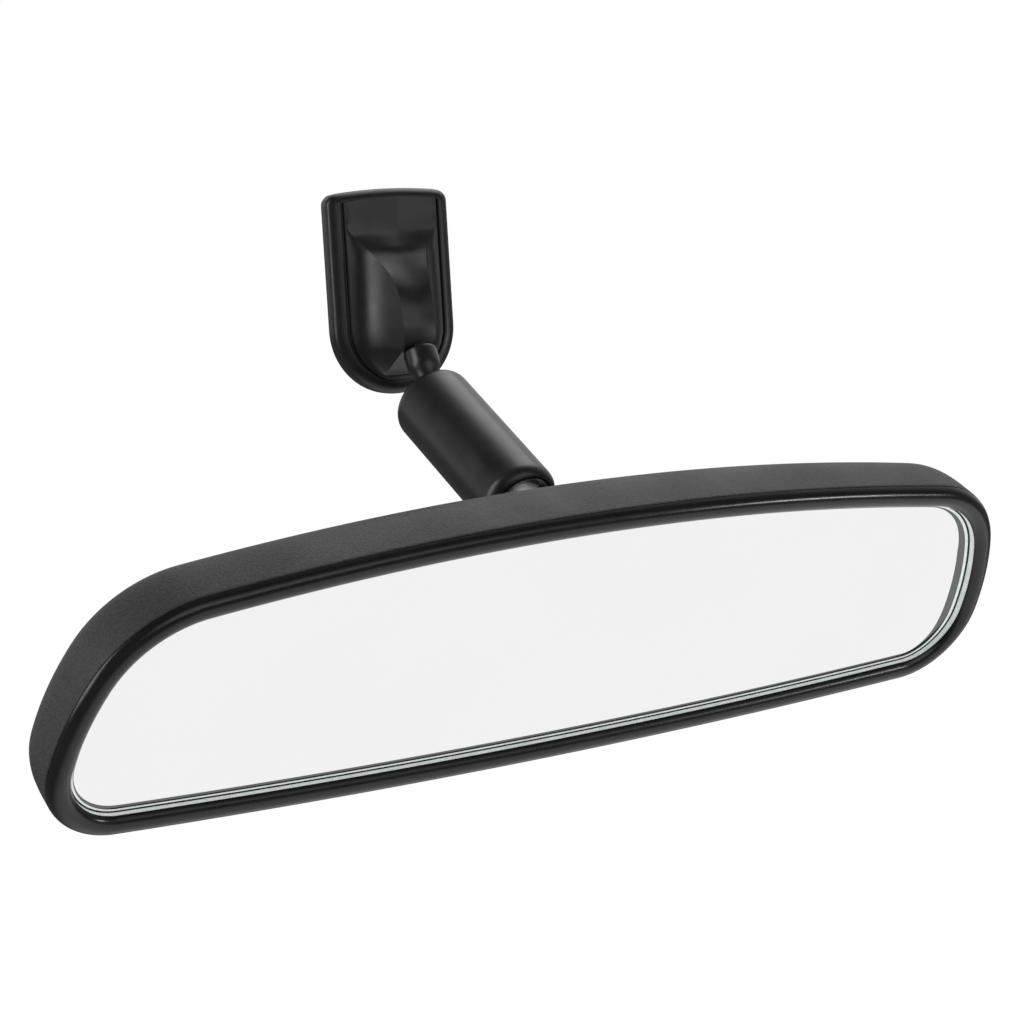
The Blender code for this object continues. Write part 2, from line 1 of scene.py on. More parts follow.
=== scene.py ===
"""Looks of an interior rear-view mirror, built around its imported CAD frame.

Lengths named in capitals are millimetres in the piece's own frame; MM turns them into
metres where a mesh is made. The head, the arm and the neck each get a frame from the
joints' axes, so every piece lies where the CAD says.
"""
import json
import math

import bmesh
import bpy
from mathutils import Matrix, Vector


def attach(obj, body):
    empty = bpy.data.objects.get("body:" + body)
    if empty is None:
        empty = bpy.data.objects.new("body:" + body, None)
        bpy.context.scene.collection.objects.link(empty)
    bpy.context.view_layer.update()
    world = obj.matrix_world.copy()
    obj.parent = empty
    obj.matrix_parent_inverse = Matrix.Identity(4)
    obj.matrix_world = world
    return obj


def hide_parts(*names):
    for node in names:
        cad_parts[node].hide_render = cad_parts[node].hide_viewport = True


MM = 0.001

# Head outline and rim (x right, y up, z towards the viewer, z = 0 at the lip's crest)
HEAD_HALF_WIDTH = 125.0
BOTTOM_RADIUS = 1930.0
BOTTOM_HALF = 107.3
LOWER_CORNER_RADIUS = 18.8
LOWER_CORNER_ANGLE = 90.0
SIDE_RADIUS = 65.3
SIDE_ANGLE = 19.4
UPPER_CORNER_RADIUS = 28.9
UPPER_CORNER_ANGLE = 59.2
LIP_RADIUS = 2.8
LIP_WALL_TOP = -1.5
BEZEL_DEPTH = 2.1
SKIRT_DEPTH = 8.0
SKIRT_OUT = 2.2
SKIRT_IN = 3.0
CASE_FRONT = 2.3
CASE_WALL = 1.6
CASE_BULGE = 0.06
BALL_IN_HEAD = Vector((0.0, 14.1, -35.9))
STUD_HOLE = 3.6
BOSS_RADIUS = 9.5
BOSS_BACK = -20.6
BOSS_FRONT = -17.0
BORE_SPAN = (-24.0, -14.0)
BACK_INSET = 6.2
BACK_SPINE_HALF = 85.0

# Glass: the silver is drawn at its apparent depth, nearer than the glass's real back
GLASS_OUT = 3.3
GLASS_TOP = -1.55
GLASS_BACK = -4.5
SILVER_DEPTH = -2.6
EDGE_OUT = 5.22

# Arm and ball joints
NECK_ANGLE = 30.0
BALL_SPACING = 36.4
BALL_RADIUS = 6.3
BALL_NECK = 2.25
RING_OUTER = 8.0
RING_CLEARANCE = 0.15
RING_FROM, RING_TO = 12.0, 26.0
BORE_RADIUS = 8.3
TUBE_RADIUS = 9.4
TUBE_CORNER = 3.0
LIP_ANGLE = 67.7
NECK_RADIUS = 3.95
UPPER_END = 0.35

# Mount relief (x right, z up, heights in front of the flat back)
MOUNT_HALF_WIDTH = 15.85
MOUNT_HALF_HEIGHT = 24.35
FLANGE_INSET = 3.0
FLANGE_INSET_TOP = 2.0

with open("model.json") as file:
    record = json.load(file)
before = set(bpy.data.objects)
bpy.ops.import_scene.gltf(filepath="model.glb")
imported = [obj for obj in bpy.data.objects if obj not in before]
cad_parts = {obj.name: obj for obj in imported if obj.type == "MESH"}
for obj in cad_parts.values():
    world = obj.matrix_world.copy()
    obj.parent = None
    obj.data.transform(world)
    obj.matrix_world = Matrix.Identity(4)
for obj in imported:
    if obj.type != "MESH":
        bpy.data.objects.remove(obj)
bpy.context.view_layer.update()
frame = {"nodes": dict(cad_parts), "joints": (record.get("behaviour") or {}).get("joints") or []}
joints = {j["name"]: j for j in frame["joints"]}


# ---------------------------------------------------------------- frames
def axes_matrix(origin, x, y, z):
    """Matrix with the given axes as columns; the origin is in metres."""
    m = Matrix.Identity(4)
    for col, v in enumerate((x, y, z, origin)):
        for row in range(3):
            m[row][col] = v[row]
    return m


def joint_axis(name):
    return Vector(joints[name]["axis"]).normalized()


UPPER_BALL = Vector(joints["arm_twist"]["pos_m"])
LOWER_BALL = Vector(joints["head_roll"]["pos_m"])
TUBE_AXIS = joint_axis("arm_twist")
TUBE_SIDE = Vector((0, 0, 1)).cross(TUBE_AXIS).normalized()
ARM = axes_matrix(UPPER_BALL, TUBE_SIDE, TUBE_AXIS.cross(TUBE_SIDE), TUBE_AXIS)
STUD = axes_matrix(LOWER_BALL, joint_axis("head_pitch"), joint_axis("head_yaw"),
                   joint_axis("head_roll"))
HEAD = STUD @ Matrix.Translation(-BALL_IN_HEAD * MM)
NECK = Matrix.Translation(UPPER_BALL) @ Matrix.Rotation(math.radians(180.0 - NECK_ANGLE), 4, "X")
ROW = Matrix.Identity(4)


# ---------------------------------------------------------------- materials
def new_material(name, color, roughness, metallic=0.0, specular=0.5):
    """A Principled material; returns the material, its node tree and its shader."""
    mat = bpy.data.materials.new(name)
    mat.use_nodes = True
    nt = mat.node_tree
    bsdf = nt.nodes["Principled BSDF"]
    bsdf.inputs["Base Color"].default_value = (*color, 1.0)
    bsdf.inputs["Roughness"].default_value = roughness
    bsdf.inputs["Metallic"].default_value = metallic
    bsdf.inputs["Specular IOR Level"].default_value = specular
    return mat, nt, bsdf


def noise(nt, scale, detail=3.0, roughness=0.5, stretch=None):
    """Noise in the piece's own coordinates, in cycles per metre."""
    coord = nt.nodes.new("ShaderNodeTexCoord")
    tex = nt.nodes.new("ShaderNodeTexNoise")
    tex.inputs["Scale"].default_value = scale
    tex.inputs["Detail"].default_value = detail
    tex.inputs["Roughness"].default_value = roughness
    source = coord.outputs["Object"]
    if stretch:
        mapping = nt.nodes.new("ShaderNodeMapping")
        mapping.inputs["Scale"].default_value = stretch
        nt.links.new(source, mapping.inputs["Vector"])
        source = mapping.outputs["Vector"]
    nt.links.new(source, tex.inputs["Vector"])
    return tex.outputs["Fac"]


def ramp(nt, source, low, high, start=0.3, end=0.7):
    """Maps a 0..1 value to colours between two stops."""
    node = nt.nodes.new("ShaderNodeValToRGB")
    node.color_ramp.elements[0].position = start
    node.color_ramp.elements[1].position = end
    node.color_ramp.elements[0].color = (*low, 1.0)
    node.color_ramp.elements[1].color = (*high, 1.0)
    nt.links.new(source, node.inputs["Fac"])
    return node.outputs["Color"]


def spread(nt, source, low, high):
    """Maps a 0..1 value to a number between low and high."""
    node = nt.nodes.new("ShaderNodeMapRange")
    node.inputs["From Min"].default_value = 0.3
    node.inputs["From Max"].default_value = 0.7
    node.inputs["To Min"].default_value = low
    node.inputs["To Max"].default_value = high
    nt.links.new(source, node.inputs["Value"])
    return node.outputs["Result"]


def bump(nt, bsdf, height, strength, distance, under=None):
    """Bumps the shader by a height, over an earlier bump if one is given."""
    node = nt.nodes.new("ShaderNodeBump")
    node.inputs["Strength"].default_value = strength
    node.inputs["Distance"].default_value = distance
    nt.links.new(height, node.inputs["Height"])
    if under:
        nt.links.new(under, node.inputs["Normal"])
    nt.links.new(node.outputs["Normal"], bsdf.inputs["Normal"])
    return node.outputs["Normal"]


def grained_plastic():
    """Moulded case plastic with a fine leather-like grain, its grooves painted darker as painted
    shade.
    """
    mat, nt, bsdf = new_material("grained_plastic", (0.03, 0.03, 0.032), 0.6, specular=0.4)
    coord = nt.nodes.new("ShaderNodeTexCoord")
    cells = nt.nodes.new("ShaderNodeTexVoronoi")
    cells.inputs["Scale"].default_value = 1750.0
    nt.links.new(coord.outputs["Object"], cells.inputs["Vector"])
    fine = noise(nt, 2600.0, 2.0)
    broad = noise(nt, 60.0, 2.0)
    # Painted shade: the tone is darkest where the grain's bump is lowest.
    tone = ramp(nt, cells.outputs["Distance"], (0.058, 0.058, 0.061), (0.036, 0.036, 0.038),
                start=0.15, end=0.7)
    nt.links.new(tone, bsdf.inputs["Base Color"])
    nt.links.new(spread(nt, broad, 0.56, 0.64), bsdf.inputs["Roughness"])
    first = bump(nt, bsdf, cells.outputs["Distance"], 0.42, -0.00014)
    bump(nt, bsdf, fine, 0.3, 0.00005, first)
    return mat


def smooth_plastic():
    """Semi-gloss rim plastic with a faint moulding ripple."""
    mat, nt, bsdf = new_material("smooth_plastic", (0.014, 0.014, 0.0145), 0.26, specular=0.35)
    ripple = noise(nt, 90.0, 2.0)
    tone = ramp(nt, ripple, (0.0125, 0.0125, 0.013), (0.016, 0.016, 0.0165))
    nt.links.new(tone, bsdf.inputs["Base Color"])
    nt.links.new(spread(nt, noise(nt, 700.0, 3.0), 0.17, 0.24), bsdf.inputs["Roughness"])
    bump(nt, bsdf, ripple, 0.12, 0.0004)
    return mat


def satin_paint(name, roughness, peel):
    """Satin black paint with orange peel over metal."""
    mat, nt, bsdf = new_material(name, (0.011, 0.011, 0.0115), roughness, specular=0.5)
    mottle = noise(nt, 220.0, 3.0)
    tone = ramp(nt, mottle, (0.0095, 0.0095, 0.01), (0.0135, 0.0135, 0.014))
    nt.links.new(tone, bsdf.inputs["Base Color"])
    nt.links.new(spread(nt, mottle, roughness - 0.03, roughness + 0.04), bsdf.inputs["Roughness"])
    bump(nt, bsdf, noise(nt, 1400.0, 2.0), peel, 0.00003)
    return mat


def turned_metal(name, color, roughness, stretch=(1.0, 1.0, 60.0)):
    """Plated or plain metal with fine lathe lines around the piece's own axis."""
    mat, nt, bsdf = new_material(name, color, roughness, metallic=1.0)
    lines = noise(nt, 60.0, 2.0, stretch=stretch)
    stain = noise(nt, 320.0, 4.0)
    dark = tuple(0.82 * c for c in color)
    nt.links.new(ramp(nt, stain, dark, color), bsdf.inputs["Base Color"])
    nt.links.new(spread(nt, stain, roughness - 0.05, roughness + 0.08), bsdf.inputs["Roughness"])
    bump(nt, bsdf, lines, 0.25, 0.00004)
    return mat


def moulded_nylon(name, low, high, roughness):
    """Moulded nylon, clouded between two tones."""
    mat, nt, bsdf = new_material(name, high, roughness, specular=0.4)
    cloud = noise(nt, 380.0, 3.0)
    nt.links.new(ramp(nt, cloud, low, high), bsdf.inputs["Base Color"])
    nt.links.new(spread(nt, cloud, roughness - 0.05, roughness + 0.05), bsdf.inputs["Roughness"])
    bump(nt, bsdf, cloud, 0.15, 0.00004)
    return mat


def closed_cell_foam():
    """Dark foam with open-looking cut cells, painted darker where the cells' bump is lowest, as
    painted shade.
    """
    mat, nt, bsdf = new_material("closed_cell_foam", (0.03, 0.03, 0.03), 0.95, specular=0.2)
    coord = nt.nodes.new("ShaderNodeTexCoord")
    cells = nt.nodes.new("ShaderNodeTexVoronoi")
    cells.inputs["Scale"].default_value = 1100.0
    nt.links.new(coord.outputs["Object"], cells.inputs["Vector"])
    # Painted shade: the tone is darkest where the cells' bump is lowest.
    tone = ramp(nt, cells.outputs["Distance"], (0.045, 0.045, 0.047), (0.018, 0.018, 0.019),
                start=0.1, end=0.7)
    nt.links.new(tone, bsdf.inputs["Base Color"])
    bump(nt, bsdf, cells.outputs["Distance"], 0.8, -0.0003)
    return mat


def silvered_face(name, tint):
    """Silvered glass with a trace of haze."""
    mat, nt, bsdf = new_material(name, (tint, tint, tint), 0.015, metallic=1.0)
    haze = noise(nt, 25.0, 2.0)
    nt.links.new(spread(nt, haze, 0.012, 0.02), bsdf.inputs["Roughness"])
    low, high = 0.995 * tint, 1.002 * tint
    nt.links.new(ramp(nt, haze, (low, low, low), (high, high, high)), bsdf.inputs["Base Color"])
    return mat


def ground_edge_painted_glow():
    """Ground glass edge: pale, faintly green, with fine wheel marks.

    A little emission is a painted glow, standing in for the light that real glass leads to its
    edge.
    """
    mat, nt, bsdf = new_material("ground_edge_painted_glow", (0.75, 0.8, 0.77), 0.3, specular=0.8)
    # Painted glow: the edge gives off light although it is no lamp.
    bsdf.inputs["Emission Color"].default_value = (0.93, 1.0, 0.97, 1.0)
    bsdf.inputs["Emission Strength"].default_value = 0.28
    marks = noise(nt, 500.0, 3.0)
    tone = ramp(nt, marks, (0.62, 0.68, 0.645), (0.85, 0.88, 0.86))
    nt.links.new(tone, bsdf.inputs["Base Color"])
    bump(nt, bsdf, marks, 0.2, 0.00005)
    return mat


def back_paint():
    """Dull dark paint on the back of the glass."""
    mat, nt, bsdf = new_material("back_paint", (0.012, 0.012, 0.012), 0.6)
    cloud = noise(nt, 150.0, 3.0)
    tone = ramp(nt, cloud, (0.009, 0.009, 0.009), (0.015, 0.015, 0.015))
    nt.links.new(tone, bsdf.inputs["Base Color"])
    return mat


# ---------------------------------------------------------------- mesh helpers
def finish_mesh(name, bm, matrix, mats, body, replaced, sharp=35.0):
    """Makes the object, shades it smooth, places it, attaches it to its body and hides the CAD
    nodes it replaces.
    """
    mesh = bpy.data.meshes.new(name)
    bm.to_mesh(mesh)
    bm.free()
    mesh.shade_smooth()
    mesh.set_sharp_from_angle(angle=math.radians(sharp))
    for mat in mats:
        mesh.materials.append(mat)
    ob = bpy.data.objects.new(name, mesh)
    bpy.context.scene.collection.objects.link(ob)
    ob.matrix_world = matrix
    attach(ob, body)
    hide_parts(*replaced)
    return ob


def add_rings(bm, rings, close_path=False, cap_start=False, cap_end=False, mats=None):
    """Joins closed rings of points, in millimetres, with quads; mats gives a slot per band."""
    rows = [[bm.verts.new([c * MM for c in p]) for p in ring] for ring in rings]
    pairs = list(zip(rows, rows[1:]))
    if close_path:
        pairs.append((rows[-1], rows[0]))
    for band, (a, b) in enumerate(pairs):
        for i in range(len(a)):
            j = (i + 1) % len(a)
            face = bm.faces.new((a[i], a[j], b[j], b[i]))
            face.material_index = mats[band] if mats else 0
    if cap_start:
        bm.faces.new(rows[0]).material_index = mats[0] if mats else 0
    if cap_end:
        bm.faces.new(list(reversed(rows[-1]))).material_index = mats[-1] if mats else 0
    bmesh.ops.recalc_face_normals(bm, faces=bm.faces)
    return rows


def arc(cx, cy, radius, start, end, steps):
    """Points of an arc, angles in degrees from +x towards +y."""
    out = []
    for i in range(steps + 1):
        t = math.radians(start + (end - start) * i / steps)
        out.append((cx + radius * math.cos(t), cy + radius * math.sin(t)))
    return out


def lathe(name, profile, matrix, mats, body, replaced, steps=96, closed=False, offset=(0, 0)):
    """Turns an (r, z) profile about Z; points on the axis become poles."""
    bm = bmesh.new()
    columns = []
    for r, z in profile:
        if r < 1e-6:
            columns.append([bm.verts.new((offset[0] * MM, offset[1] * MM, z * MM))])
            continue
        ring = []
        for k in range(steps):
            t = 2.0 * math.pi * k / steps
            x = offset[0] + r * math.cos(t)
            y = offset[1] + r * math.sin(t)
            ring.append(bm.verts.new((x * MM, y * MM, z * MM)))
        columns.append(ring)
    pairs = list(zip(columns, columns[1:]))
    if closed:
        pairs.append((columns[-1], columns[0]))
    for a, b in pairs:
        for k in range(steps):
            n = (k + 1) % steps
            loop = [a[k % len(a)], a[n % len(a)], b[n % len(b)], b[k % len(b)]]
            unique = list(dict.fromkeys(loop))
            if len(unique) > 2:
                bm.faces.new(unique)
    bmesh.ops.recalc_face_normals(bm, faces=bm.faces)
    return finish_mesh(name, bm, matrix, mats, body, replaced)


def cutter(rings, matrix):
    """A closed solid from rings, used to cut a piece and then removed."""
    bm = bmesh.new()
    add_rings(bm, rings, cap_start=True, cap_end=True)
    mesh = bpy.data.meshes.new("cutter")
    bm.to_mesh(mesh)
    bm.free()
    ob = bpy.data.objects.new("cutter", mesh)
    bpy.context.scene.collection.objects.link(ob)
    ob.matrix_world = matrix
    return ob


def bore_cutter(radius, centre, low, high, matrix):
    """A round cutter along the matrix's Z, between two heights."""
    ring = arc(centre[0], centre[1], radius, 0.0, 360.0, 64)[:-1]
    return cutter([[(x, y, z) for x, y in ring] for z in (low, high)], matrix)


def carve(ob, cutters, sharp):
    """Cuts the cutters out of a piece, with its modifiers applied."""
    for tool in cutters:
        cut = ob.modifiers.new("Cut", "BOOLEAN")
        cut.operation = "DIFFERENCE"
        cut.solver = "EXACT"
        cut.object = tool
    bpy.context.view_layer.update()
    shaped = ob.evaluated_get(bpy.context.evaluated_depsgraph_get())
    mesh = bpy.data.meshes.new_from_object(shaped)
    ob.modifiers.clear()
    ob.data = mesh
    mesh.shade_smooth()
    mesh.set_sharp_from_angle(angle=math.radians(sharp))
    for tool in cutters:
        bpy.data.objects.remove(tool)


def smooth_curve(points, per_span):
    """Catmull-Rom curve through points."""
    padded = [points[0]] + list(points) + [points[-1]]
    out = []
    for p0, p1, p2, p3 in zip(padded, padded[1:], padded[2:], padded[3:]):
        for i in range(per_span):
            t = i / per_span
            out.append(tuple(
                0.5 * (2 * b + (c - a) * t + (2 * a - 5 * b + 4 * c - d) * t * t
                       + (3 * b - a - 3 * c + d) * t ** 3)
                for a, b, c, d in zip(p0, p1, p2, p3)))
    return out + [tuple(points[-1])]


# ---------------------------------------------------------------- head outline
def head_outline():
    """Full outline, counter-clockwise, as (x, y, outward normal)."""
    segments = [
        (BOTTOM_HALF, BOTTOM_RADIUS, 40),
        (math.radians(LOWER_CORNER_ANGLE) * LOWER_CORNER_RADIUS, LOWER_CORNER_RADIUS, 26),
        (math.radians(SIDE_ANGLE) * SIDE_RADIUS, SIDE_RADIUS, 12),
        (math.radians(UPPER_CORNER_ANGLE) * UPPER_CORNER_RADIUS, UPPER_CORNER_RADIUS, 22),
    ]
    x, y, h = 0.0, 0.0, 0.0
    right = [(x, y, h)]
    for length, radius, steps in segments:
        x0, y0, h0 = x, y, h
        for i in range(1, steps + 1):
            h = h0 + length / radius * i / steps
            x = x0 + radius * (math.sin(h) - math.sin(h0))
            y = y0 - radius * (math.cos(h) - math.cos(h0))
            right.append((x, y, h))
    rest = math.pi - h
    crown = x / math.sin(rest)
    cy = y + crown * math.cos(h)
    for i in range(1, 41):
        t = h + rest * i / 40
        right.append((crown * math.sin(t), cy - crown * math.cos(t), t))
    left = [(-x, y, 2.0 * math.pi - h) for x, y, h in reversed(right[1:-1])]
    full = right + left
    scale = HEAD_HALF_WIDTH / max(p[0] for p in full)
    ys = [p[1] for p in full]
    middle = (max(ys) + min(ys)) / 2.0
    return [(x * scale, (y - middle) * scale, (math.sin(h), -math.cos(h))) for x, y, h in full]


OUTLINE = head_outline()


def inset_ring(inset, z, right=0.0, low=0.0):
    """Outline moved inwards; right and low add inset where it faces right or down."""
    out = []
    for x, y, n in OUTLINE:
        t = inset + right * max(n[0], 0.0) ** 2 + low * max(-n[1], 0.0) ** 2
        out.append((x - t * n[0], y - t * n[1], z))
    return out


def drawn_in_ring(inset, factor, z):
    """A ring pulled towards the head's long middle line, for the domed back."""
    out = []
    for x, y, _ in inset_ring(inset, z):
        sx = max(-BACK_SPINE_HALF, min(BACK_SPINE_HALF, x))
        out.append((sx + (x - sx) * factor, y * factor, z))
    return out


# ---------------------------------------------------------------- head pieces
def build_bezel():
    """Rim with a round bead against the glass and a skirt inside the case."""
    r = LIP_RADIUS
    outer = 180.0 - math.degrees(math.asin((r - BEZEL_DEPTH) / r))
    inner = math.degrees(math.asin((r + LIP_WALL_TOP) / r))
    section = arc(r, -r, r, outer, inner, 30)
    ledge = LIP_WALL_TOP - 0.03
    section += [(section[-1][0] - 0.25, ledge), (SKIRT_IN, ledge)]
    section += [(SKIRT_IN, -SKIRT_DEPTH), (SKIRT_OUT, -SKIRT_DEPTH)]
    section += [(SKIRT_OUT, -BEZEL_DEPTH), (0.3, -BEZEL_DEPTH)]
    bm = bmesh.new()
    add_rings(bm, [inset_ring(t, z) for t, z in section], close_path=True)
    finish_mesh("rim", bm, HEAD, [smooth_plastic()], "head", ["front_bezel"],
                sharp=50.0)


def build_glass():
    """Mirror plate: silver face, a dim band of painted reflection of the rim's lip, a pale band
    of painted reflection of the glass edge, a dark line, the ground edge and the back.

    The bands round the silver lie on its own plane; nothing here is refracted. Each row is
    its inset, its depth and the extra inset at the right and at the bottom.
    """
    deep = SILVER_DEPTH
    chamfer = 0.3
    # The first rows lie on the silver's plane: the dim band is a painted reflection of the rim's
    # lip, widest at the right and the bottom, and the pale band is a painted reflection of the
    # glass edge, followed by a dark line.
    section = [(6.2, deep, 3.8, 0.9), (6.05, deep, 1.35, 0.0), (5.62, deep, 0.85, 0.0)]
    section += [(5.27, deep, 0.7, 0.0), (5.26, deep + 0.12, 0.65, 0.0)]
    plain = [(EDGE_OUT, GLASS_TOP - 0.05), (EDGE_OUT - 0.05, GLASS_TOP)]
    plain += [(GLASS_OUT + chamfer, GLASS_TOP), (GLASS_OUT, GLASS_TOP - chamfer)]
    plain += [(GLASS_OUT, GLASS_BACK + chamfer), (GLASS_OUT + chamfer, GLASS_BACK)]
    section += [(t, z, 0.0, 0.0) for t, z in plain]
    silver, edge, paint, reflected_lip = 0, 1, 2, 3
    bands = [reflected_lip, edge, paint, paint] + [edge] * 6
    bm = bmesh.new()
    rows = add_rings(bm, [inset_ring(t, z, right, low) for t, z, right, low in section], mats=bands)
    bm.faces.new(rows[0]).material_index = silver
    bm.faces.new(list(reversed(rows[-1]))).material_index = paint
    bmesh.ops.recalc_face_normals(bm, faces=bm.faces)
    # The dim silver paints the reflection of the rim's lip; the edge material, with its painted
    # glow, also paints the edge's reflection.
    mats = [silvered_face("silvered_face", 0.865), ground_edge_painted_glow(), back_paint(),
            silvered_face("painted_lip_reflection", 0.13)]
    finish_mesh("mirror_plate", bm, HEAD, mats, "head", ["mirror_glass"],
                sharp=12.0)


def bulged(ring):
    """Deepens a ring towards the middle of the head's length."""
    out = []
    for x, y, z in ring:
        out.append((x, y, z * (1.0 + CASE_BULGE * (1.0 - (x / HEAD_HALF_WIDTH) ** 2))))
    return out


def build_case():
    """Case wall with its domed back and the stud's bore, and the boss round the bore."""
    side = [(0.15, -CASE_FRONT - 0.02), (0.03, -CASE_FRONT - 0.14), (0.0, -2.9), (0.1, -5.0),
            (0.3, -8.0), (0.8, -11.2), (1.8, -14.0), (3.4, -16.1), (BACK_INSET, -17.6)]
    rings = [inset_ring(t, z) for t, z in side[:3]]
    rings += [bulged(inset_ring(t, z)) for t, z in smooth_curve(side[3:], 5)]
    back = smooth_curve([(1.0, -17.9), (0.75, -19.2), (0.5, -19.8), (0.15, -20.2)], 5)
    rings += [drawn_in_ring(BACK_INSET, f, z) for f, z in back[1:]]
    bm = bmesh.new()
    add_rings(bm, rings, cap_end=True)
    plastic = grained_plastic()
    case = finish_mesh("case", bm, HEAD, [plastic], "head", ["rear_case"],
                       sharp=60.0)
    wall = case.modifiers.new("Wall", "SOLIDIFY")
    wall.thickness = CASE_WALL * MM
    wall.offset = -1.0
    wall.use_even_offset = True
    centre = (0.0, BALL_IN_HEAD.y)
    carve(case, [bore_cutter(STUD_HOLE, centre, *BORE_SPAN, HEAD)], 60.0)
    profile = [(STUD_HOLE, BOSS_BACK + 0.3), (STUD_HOLE + 0.4, BOSS_BACK),
               (BOSS_RADIUS - 0.6, BOSS_BACK), (BOSS_RADIUS - 0.15, BOSS_BACK + 0.18),
               (BOSS_RADIUS, BOSS_BACK + 0.6), (BOSS_RADIUS, BOSS_FRONT), (STUD_HOLE, BOSS_FRONT)]
    lathe("case_boss", profile, HEAD, [plastic], "head", ["rear_case"],
          closed=True, offset=centre)


def head_corners(name):
    """Lowest and highest corner of a CAD node, in the head's own axes."""
    back = HEAD.inverted()
    points = [back @ v.co for v in frame["nodes"][name].data.vertices]
    low = Vector([min(p[i] for p in points) for i in range(3)])
    high = Vector([max(p[i] for p in points) for i in range(3)])
    return low, high


def build_pads():
    """Foam blocks with soft edges and slightly crowned faces."""
    foam = closed_cell_foam()
    for name in ("foam_pad_left", "foam_pad_right"):
        low, high = head_corners(name)
        bm = bmesh.new()
        bmesh.ops.create_cube(bm, size=1.0)
        bmesh.ops.subdivide_edges(bm, edges=bm.edges, cuts=9, use_grid_fill=True)
        for v in bm.verts:
            a, b, c = v.co
            crown = (1.0 - (2 * a) ** 4) * (1.0 - (2 * b) ** 4)
            pinch = 1.0 - 0.05 * (2 * c) ** 2
            v.co = (a * pinch, b * pinch, c * (0.82 + 0.18 * crown))
        bmesh.ops.scale(bm, verts=bm.verts, vec=high - low)
        bmesh.ops.translate(bm, verts=bm.verts, vec=(high + low) / 2)
        pad = finish_mesh(name + "_block", bm, HEAD, [foam], "head", [name],
                          sharp=60.0)


def build_stud():
    """Lower ball, neck, shoulder and shank."""
    front = -BALL_IN_HEAD.z
    start = math.degrees(math.asin(BALL_NECK / BALL_RADIUS))
    ball = arc(0, 0, BALL_RADIUS, 90.0 - start, -90.0, 40)
    ball[-1] = (0.0, -BALL_RADIUS)
    profile = [(0.0, front - 6.0), (2.9, front - 6.0), (3.3, front - 6.4), (3.3, front - 20.9)]
    profile += [(6.2, front - 20.9), (6.5, front - 21.2), (6.5, front - 22.6), (6.2, front - 22.9)]
    profile += smooth_curve([(3.6, front - 22.9), (2.9, front - 23.6), (2.45, front - 25.6),
                             (2.35, 7.4), (BALL_NECK + 0.02, 6.1)], 4)
    mat = turned_metal("bright_zinc", (0.9, 0.9, 0.88), 0.42)
    lathe("ball_stud", profile + ball[1:], STUD, [mat], "head", ["lower_ball_stud"])


# ---------------------------------------------------------------- arm pieces
def build_tube():
    """Tube with both ends rolled in over the ball seats."""
    edge = BORE_RADIUS * math.sin(math.radians(LIP_ANGLE))
    cx = TUBE_RADIUS - TUBE_CORNER
    stop = math.degrees(math.acos((edge - cx) / TUBE_CORNER))
    profile = arc(cx, BALL_SPACING + 1.0, TUBE_CORNER, stop, 0.0, 16)
    profile += arc(cx, -1.0 - UPPER_END, TUBE_CORNER, 0.0, -stop, 16)
    profile += arc(0.0, 0.0, BORE_RADIUS, LIP_ANGLE - 90.0, 0.0, 8)
    profile += arc(0.0, BALL_SPACING, BORE_RADIUS, 0.0, 90.0 - LIP_ANGLE, 8)
    paint = satin_paint("tube_paint", 0.34, 0.12)
    lathe("tube", profile, ARM, [paint], "arm", ["arm_tube"], steps=128,
          closed=True)


def ring_profile():
    """Section of a wear ring, between two spheres round the ball's centre."""
    outer = arc(0, 0, RING_OUTER, RING_TO, RING_FROM, 6)
    return outer + arc(0, 0, BALL_RADIUS + RING_CLEARANCE, RING_FROM, RING_TO, 6)


def build_rings():
    upside_down = ARM @ Matrix.Rotation(math.pi, 4, "X")
    for name, matrix, body, slot in (
            ("upper_ring", upside_down, "upper_ring", "ring_nylon_upper"),
            ("lower_ring", STUD, "lower_ring", "ring_nylon_lower")):
        mat = moulded_nylon(name + "_nylon", (0.012, 0.012, 0.012), (0.02, 0.02, 0.02), 0.3)
        lathe(name, ring_profile(), matrix, [mat], body, [name.replace("_", "_wear_")],
              closed=True)


def build_neck():
    """Upper ball with its neck and the stub pressed into the stem."""
    start = math.degrees(math.asin(BALL_NECK / BALL_RADIUS))
    ball = arc(0, 0, BALL_RADIUS, 90.0, -90.0 + start, 40)
    ball[0] = (0.0, BALL_RADIUS)
    r = NECK_RADIUS
    profile = ball + smooth_curve([(2.4, -6.4), (3.05, -9.0), (r - 0.2, -10.8), (r, -12.2),
                                   (r, -15.0)], 5)
    profile += [(r - 0.1, -15.3), (r - 0.4, -15.6)]
    profile += [(2.0, -15.6), (2.0, -22.2), (1.6, -22.6), (0.0, -22.6)]
    paint = satin_paint("neck_paint", 0.33, 0.1)
    lathe("neck", profile, NECK, [paint], "mount", ["upper_ball_stud"])


# ---------------------------------------------------------------- mount
FRONT_HALF = MOUNT_HALF_WIDTH - FLANGE_INSET
FRONT_TOP = MOUNT_HALF_HEIGHT - FLANGE_INSET_TOP
ROUND_Z = MOUNT_HALF_WIDTH - MOUNT_HALF_HEIGHT
FRONT_FLOOR = 4.7
